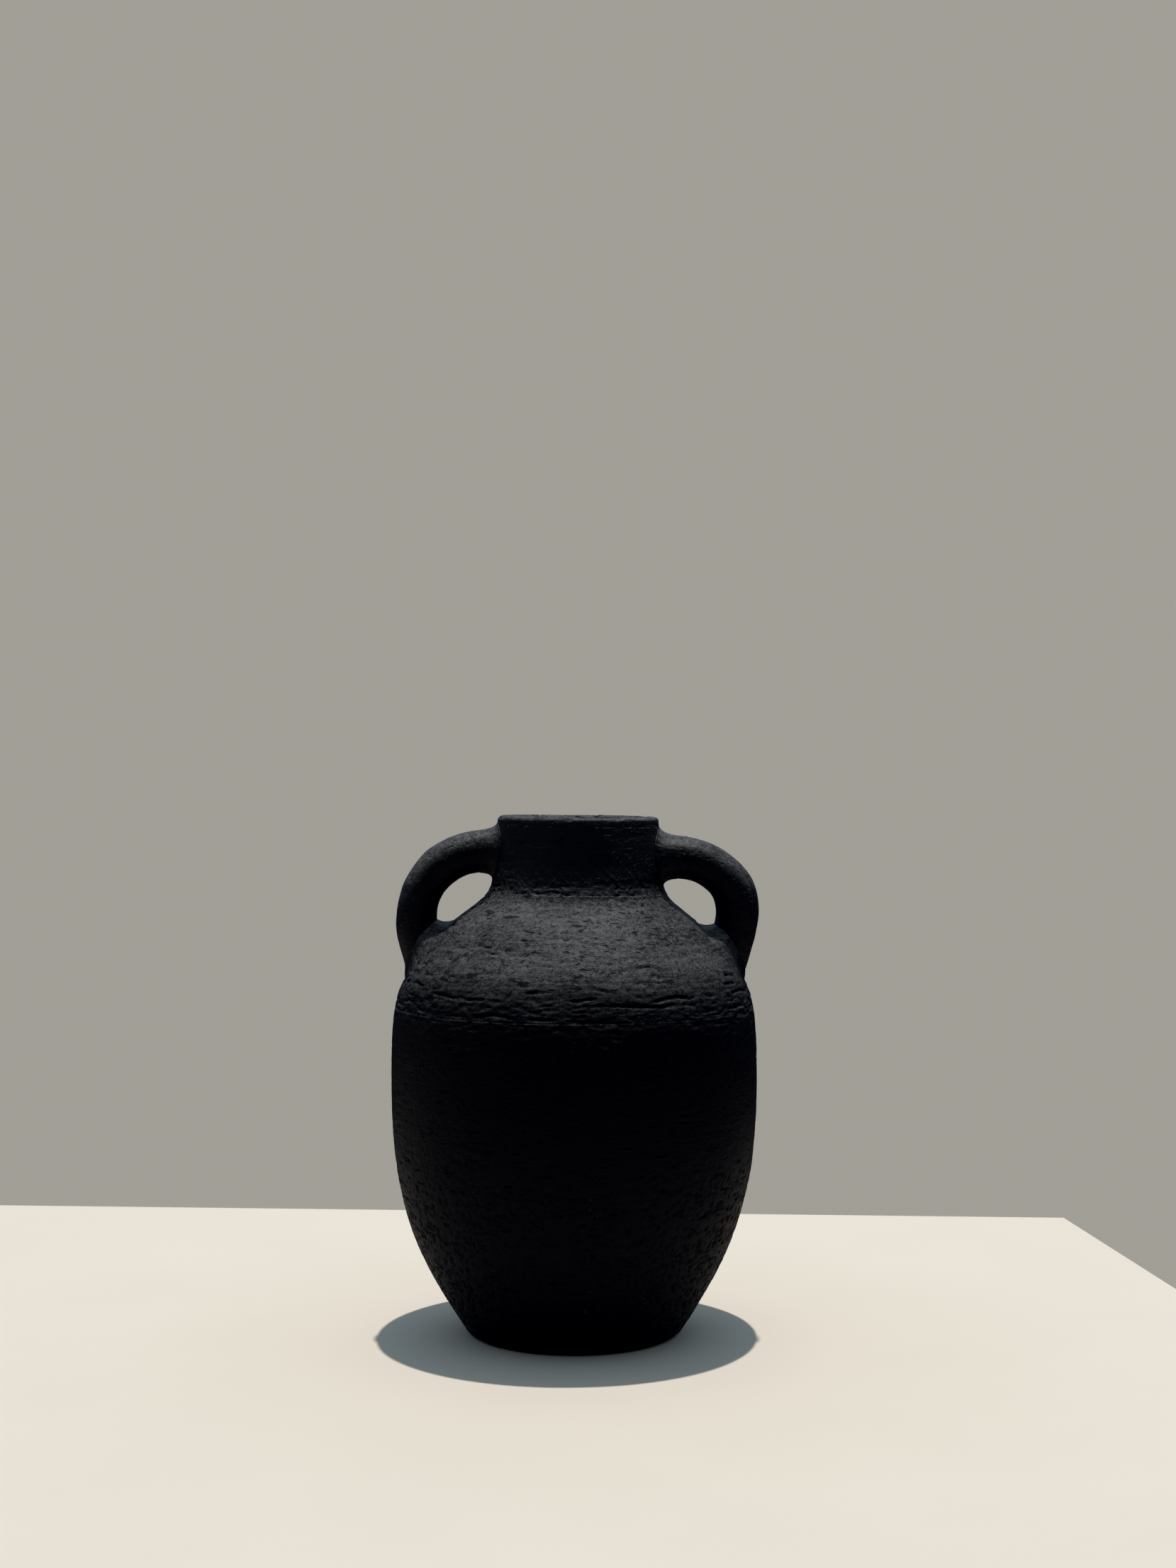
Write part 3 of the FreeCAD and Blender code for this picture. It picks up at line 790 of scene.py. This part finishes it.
class Shader:
    """The node tree of a material or a world, filled from Python."""

    def __init__(self, owner):
        owner.use_nodes = True
        self.tree = owner.node_tree
        self.tree.nodes.clear()

    def node(self, kind, settings=None, values=None):
        """Add a node: its settings first, then the values or links of its sockets."""
        made = self.tree.nodes.new(kind)
        for key, value in (settings or {}).items():
            setattr(made, key, value)
        for key, value in (values or {}).items():
            socket = made.inputs[key]
            value = value.socket if isinstance(value, Number) else value
            if isinstance(value, bpy.types.NodeSocket):
                self.tree.links.new(value, socket)
            else:
                socket.default_value = value
        return made.outputs

    def math(self, operation, *values):
        """Add a Math node for numbers or their sockets."""
        outputs = self.node("ShaderNodeMath", {"operation": operation}, dict(enumerate(values)))
        return Number(self, outputs[0])

    def mix(self, factor, first, second):
        """A colour between two colours."""
        settings = {"data_type": "RGBA"}
        inputs = {0: factor, 6: (*first, 1.0), 7: (*second, 1.0)}
        return self.node("ShaderNodeMix", settings, inputs)[2]

    def place(self):
        """The point on the object, in the object's own coordinates."""
        return self.node("ShaderNodeTexCoord")["Object"]

    def upward(self, vector):
        """The part of a vector along +Z."""
        return Number(self, self.node("ShaderNodeSeparateXYZ", None, {0: vector})[2])

    def noise(self, scale, detail=2.0, roughness=0.5):
        """Noise from 0 to 1 over the object's own coordinates. The scale is how many waves
        there are in a metre along each axis."""
        values = {"Vector": self.place(), "Scale": scale}
        mapped = self.node("ShaderNodeMapping", None, values)[0]
        values = {"Vector": mapped, "Scale": 1.0, "Detail": detail, "Roughness": roughness}
        return Number(self, self.node("ShaderNodeTexNoise", None, values)[0])


# Clay material --------------------------------------------------------------------------

CLAY_GLOSS, SOOT_GLOSS = 0.14, 0.026
SOOT_ENDS = (208.0 * MM, 226.0 * MM)


def clay_material(name, strokes, cracks, pits, grit):
    """Matte black clay. Level strokes, thin level cracks, pits and grain make one height.
    Dust lies on random high spots, and painted light lies on what faces up: the colour is
    lighter the more the surface faces up. Both lie more thinly from the seam down, and next
    to none lies in the cracks and pits, which is painted shade in them. The clay from the
    seam down is sooty and shines less."""
    material = bpy.data.materials.new(name)
    shader, colours = Shader(material), look()
    level = shader.noise((45.0, 45.0, 620.0), 3.0)
    fine_level = shader.noise((130.0, 130.0, 1300.0), 2.0)
    grain = shader.noise((950.0, 950.0, 1100.0), 3.0, 0.6)
    lumps = shader.noise((330.0, 330.0, 430.0), 3.0, 0.6)
    patches = shader.noise((28.0, 28.0, 55.0), 3.0)
    crack = shader.noise((95.0, 95.0, 330.0), 1.0).above(0.665, 0.69) * cracks
    pit = shader.noise((400.0, 400.0, 480.0), 1.0).above(0.63, 0.69) * pits
    height = (level * 0.45 + fine_level * 0.4) * strokes + (grain * 0.9 + lumps * 0.8) * grit
    height = height - crack * 1.6 - pit * 1.3
    facing = shader.upward(shader.node("ShaderNodeNewGeometry")["Normal"])
    # Dust on random high spots, with painted light: lighter the more the surface faces up.
    dust_and_painted_light = (level * 0.35 + grain * 0.8 + lumps * 0.6 + patches * 0.3).above(0.77, 1.29)
    # Next to none of the lighter tone in the cracks and pits: painted shade in them. The last
    # factor is the painted light on what faces up.
    dust_and_painted_light = dust_and_painted_light * (1.0 - crack * 0.8) * (1.0 - pit * 0.8) * facing.above(0.06, 0.62)
    standing = shader.upward(shader.place())
    above_seam = (standing + level * (9.0 * MM)).above(*SOOT_ENDS)
    # The dust and the painted light are thinner from the seam down.
    dust_and_painted_light = dust_and_painted_light * (above_seam * 0.4 + 0.6)
    colour = shader.mix(dust_and_painted_light, colours.clay, colours.dust_and_painted_light_colour)
    rough = 0.42 + grain * 0.18 + crack * 0.3
    bump = shader.node(
        "ShaderNodeBump", None, {"Height": height, "Strength": 0.75, "Distance": 0.62 * MM}
    )[0]
    shine, soot = (
        shader.node("ShaderNodeBsdfPrincipled", None, {
            "Base Color": colour, "Roughness": rough, "Normal": bump, "Specular IOR Level": gloss,
        })[0]
        for gloss in (CLAY_GLOSS, SOOT_GLOSS)
    )
    surface = shader.node("ShaderNodeMixShader", None, {0: above_seam, 1: soot, 2: shine})[0]
    shader.node("ShaderNodeOutputMaterial", None, {"Surface": surface})
    return material


# Stage ----------------------------------------------------------------------------------

SKY_AXIS = (0.0, 0.22, 0.97)
SKY_COLOUR = (0.74, 1.0, 1.24)


def table_mesh():
    """The table's top as a slab under the pot, its back and its right side turned a few
    degrees from the pot's axes."""
    thickness = 0.03
    corners = [(-0.80, -0.47), (0.433, -0.47), (0.357, 0.326), (-0.80, 0.395)]
    vertices = [(x, y, z) for z in (-thickness, 0.0) for x, y in corners]
    faces = [(3, 2, 1, 0), (4, 5, 6, 7)]
    faces += [(k, (k + 1) % 4, (k + 1) % 4 + 4, k + 4) for k in range(4)]
    mesh = bpy.data.meshes.new("table")
    mesh.from_pydata(vertices, [], faces)
    return mesh


def table_material():
    """Pale painted board with a faint unevenness."""
    material = bpy.data.materials.new("painted_board")
    shader, colour = Shader(material), stage_look().table_colour
    uneven = shader.noise((9.0, 9.0, 9.0), 3.0).above(0.3, 0.7)
    base = shader.mix(uneven, [0.985 * part for part in colour], colour)
    bump = shader.node("ShaderNodeBump", None, {
        "Height": shader.noise((260.0, 260.0, 260.0), 3.0), "Strength": 0.06,
        "Distance": 0.5 * MM,
    })[0]
    surface = shader.node("ShaderNodeBsdfPrincipled", None, {
        "Base Color": base, "Roughness": 0.85, "Normal": bump, "Specular IOR Level": 0.2,
    })[0]
    shader.node("ShaderNodeOutputMaterial", None, {"Surface": surface})
    return material


def set_world():
    """Soft light from above and a little behind, and next to none level with the pot. The
    camera sees one plain pale tone behind the table."""
    world = bpy.data.worlds.new("room")
    shader = Shader(world)
    towards = shader.node("ShaderNodeTexCoord")["Generated"]
    overhead = shader.node(
        "ShaderNodeVectorMath", {"operation": "DOT_PRODUCT"}, {0: towards, 1: SKY_AXIS}
    )["Value"]
    strength = shader.node("ShaderNodeMapRange", {"interpolation_type": "SMOOTHSTEP"}, {
        "Value": overhead, "From Min": 0.22, "From Max": 0.80, "To Min": 0.010, "To Max": 0.53,
    })[0]
    room, seen = (
        shader.node("ShaderNodeBackground", None, {"Color": (*colour, 1.0), "Strength": power})[0]
        for colour, power in ((SKY_COLOUR, strength), (stage_look().backdrop_colour, 1.0))
    )
    straight = shader.node("ShaderNodeLightPath")["Is Camera Ray"]
    light = shader.node("ShaderNodeMixShader", None, {0: straight, 1: room, 2: seen})[0]
    shader.node("ShaderNodeOutputWorld", None, {"Surface": light})
    bpy.context.scene.world = world


def add_key_light():
    """A round lamp far overhead, a little behind the pot and to its right, small enough for
    a crisp shadow."""
    lamp = bpy.data.lights.new("key", "AREA")
    lamp.shape = "DISK"
    lamp.size = 0.09
    lamp.energy = stage_look().key_power
    lamp.color = (1.0, 0.985, 0.95)
    key = bpy.data.objects.new("key", lamp)
    key.location = (0.15, 0.51, 6.0)
    key.rotation_euler = (-math.atan2(key.location.y, key.location.z), 0.0, 0.0)
    bpy.context.scene.collection.objects.link(key)


def add_camera():
    """A level camera with a lens like a 50 mm one."""
    data = bpy.data.cameras.new("camera")
    data.sensor_width = 36.0
    data.lens = 49.95
    camera = bpy.data.objects.new("camera", data)
    stage = stage_look()
    camera.location = (stage.camera_aside, -stage.camera_distance, stage.camera_height)
    camera.rotation_euler = (math.pi / 2, 0.0, 0.0)
    bpy.context.scene.collection.objects.link(camera)
    bpy.context.scene.camera = camera


# Operators ------------------------------------------------------------------------------


class BuildWall(bpy.types.Operator):
    """Build the base disc and the courses of the wall, up to the lip coil"""

    bl_idname = "pot.build_wall"
    bl_label = "Build the wall"

    def execute(self, context):
        clay = clay_material("clay_wall", strokes=0.8, cracks=1.0, pits=0.9, grit=1.0)
        middle = settle(np.array([[0.0, 0.0, 0.0], [0.0, 0.0, BASE_TOP]]))
        mesh = make_mesh("base_disc_clay", base_points(), middle)
        add_piece("base_disc_clay", mesh, "base_disc", clay)
        for name in COURSES[1:]:
            mesh = make_mesh(f"{name}_clay", course_points(name))
            add_piece(f"{name}_clay", mesh, name, clay)
        return {"FINISHED"}


class BuildHandles(bpy.types.Operator):
    """Build the two strap handles"""

    bl_idname = "pot.build_handles"
    bl_label = "Build the handles"

    def execute(self, context):
        clay = clay_material("clay_strap", strokes=0.2, cracks=0.15, pits=0.3, grit=0.5)
        for side in SIDES:
            points = settle(strap_points(side))
            poles = np.stack([points[0].mean(axis=0), points[-1].mean(axis=0)])
            mesh = make_mesh(f"handle_{side}_clay", points, poles)
            add_piece(f"handle_{side}_clay", mesh, f"handle_{side}", clay)
        return {"FINISHED"}


class BuildLuting(bpy.types.Operator):
    """Build the clay smeared round the four ends of the handles"""

    bl_idname = "pot.build_luting"
    bl_label = "Build the luting"

    def execute(self, context):
        clay = clay_material("clay_luting", strokes=0.3, cracks=0.3, pits=0.5, grit=0.7)
        for side in SIDES:
            for end in ("upper", "lower"):
                name = f"{end}_luting_{side}"
                mesh = make_mesh(f"{name}_clay", settle(luting_points(side, end)))
                add_piece(f"{name}_clay", mesh, name, clay)
        return {"FINISHED"}


class BuildStage(bpy.types.Operator):
    """Set the table, the light and the camera"""

    bl_idname = "pot.build_stage"
    bl_label = "Set the stage"

    def execute(self, context):
        table = bpy.data.objects.new("table", table_mesh())
        context.scene.collection.objects.link(table)
        table.data.materials.append(table_material())
        set_world()
        add_key_light()
        add_camera()
        view = context.scene.view_settings
        view.view_transform = "Standard"
        view.use_curve_mapping = True
        view.curve_mapping.black_level = (0.0013, 0.0013, 0.0007)
        return {"FINISHED"}


class PotPanel(bpy.types.Panel):
    """The pot's sizes, its clay and its steps"""

    bl_idname = "VIEW3D_PT_pot"
    bl_label = "Two-handled pot"
    bl_space_type = "VIEW_3D"
    bl_region_type = "UI"
    bl_category = "Pot"

    def draw(self, context):
        scene = context.scene
        for group in (scene.pot_sizes, scene.clay_look, scene.stage_look):
            box = self.layout.box()
            for name in group.__annotations__:
                box.prop(group, name)
        for step in STEPS:
            self.layout.operator(step.bl_idname)


GROUPS = {"pot_sizes": PotSizes, "clay_look": ClayLook, "stage_look": StageLook}
STEPS = (BuildWall, BuildHandles, BuildLuting, BuildStage)


def register():
    for part in (*GROUPS.values(), *STEPS, PotPanel):
        bpy.utils.register_class(part)
    for name, group in GROUPS.items():
        setattr(bpy.types.Scene, name, PointerProperty(type=group))


def unregister():
    for name in GROUPS:
        delattr(bpy.types.Scene, name)
    for part in (PotPanel, *STEPS, *GROUPS.values()):
        bpy.utils.unregister_class(part)


def main():
    register()
    bpy.ops.pot.build_wall()
    bpy.ops.pot.build_handles()
    bpy.ops.pot.build_luting()
    bpy.ops.pot.build_stage()


if __name__ == "__main__":
    main()
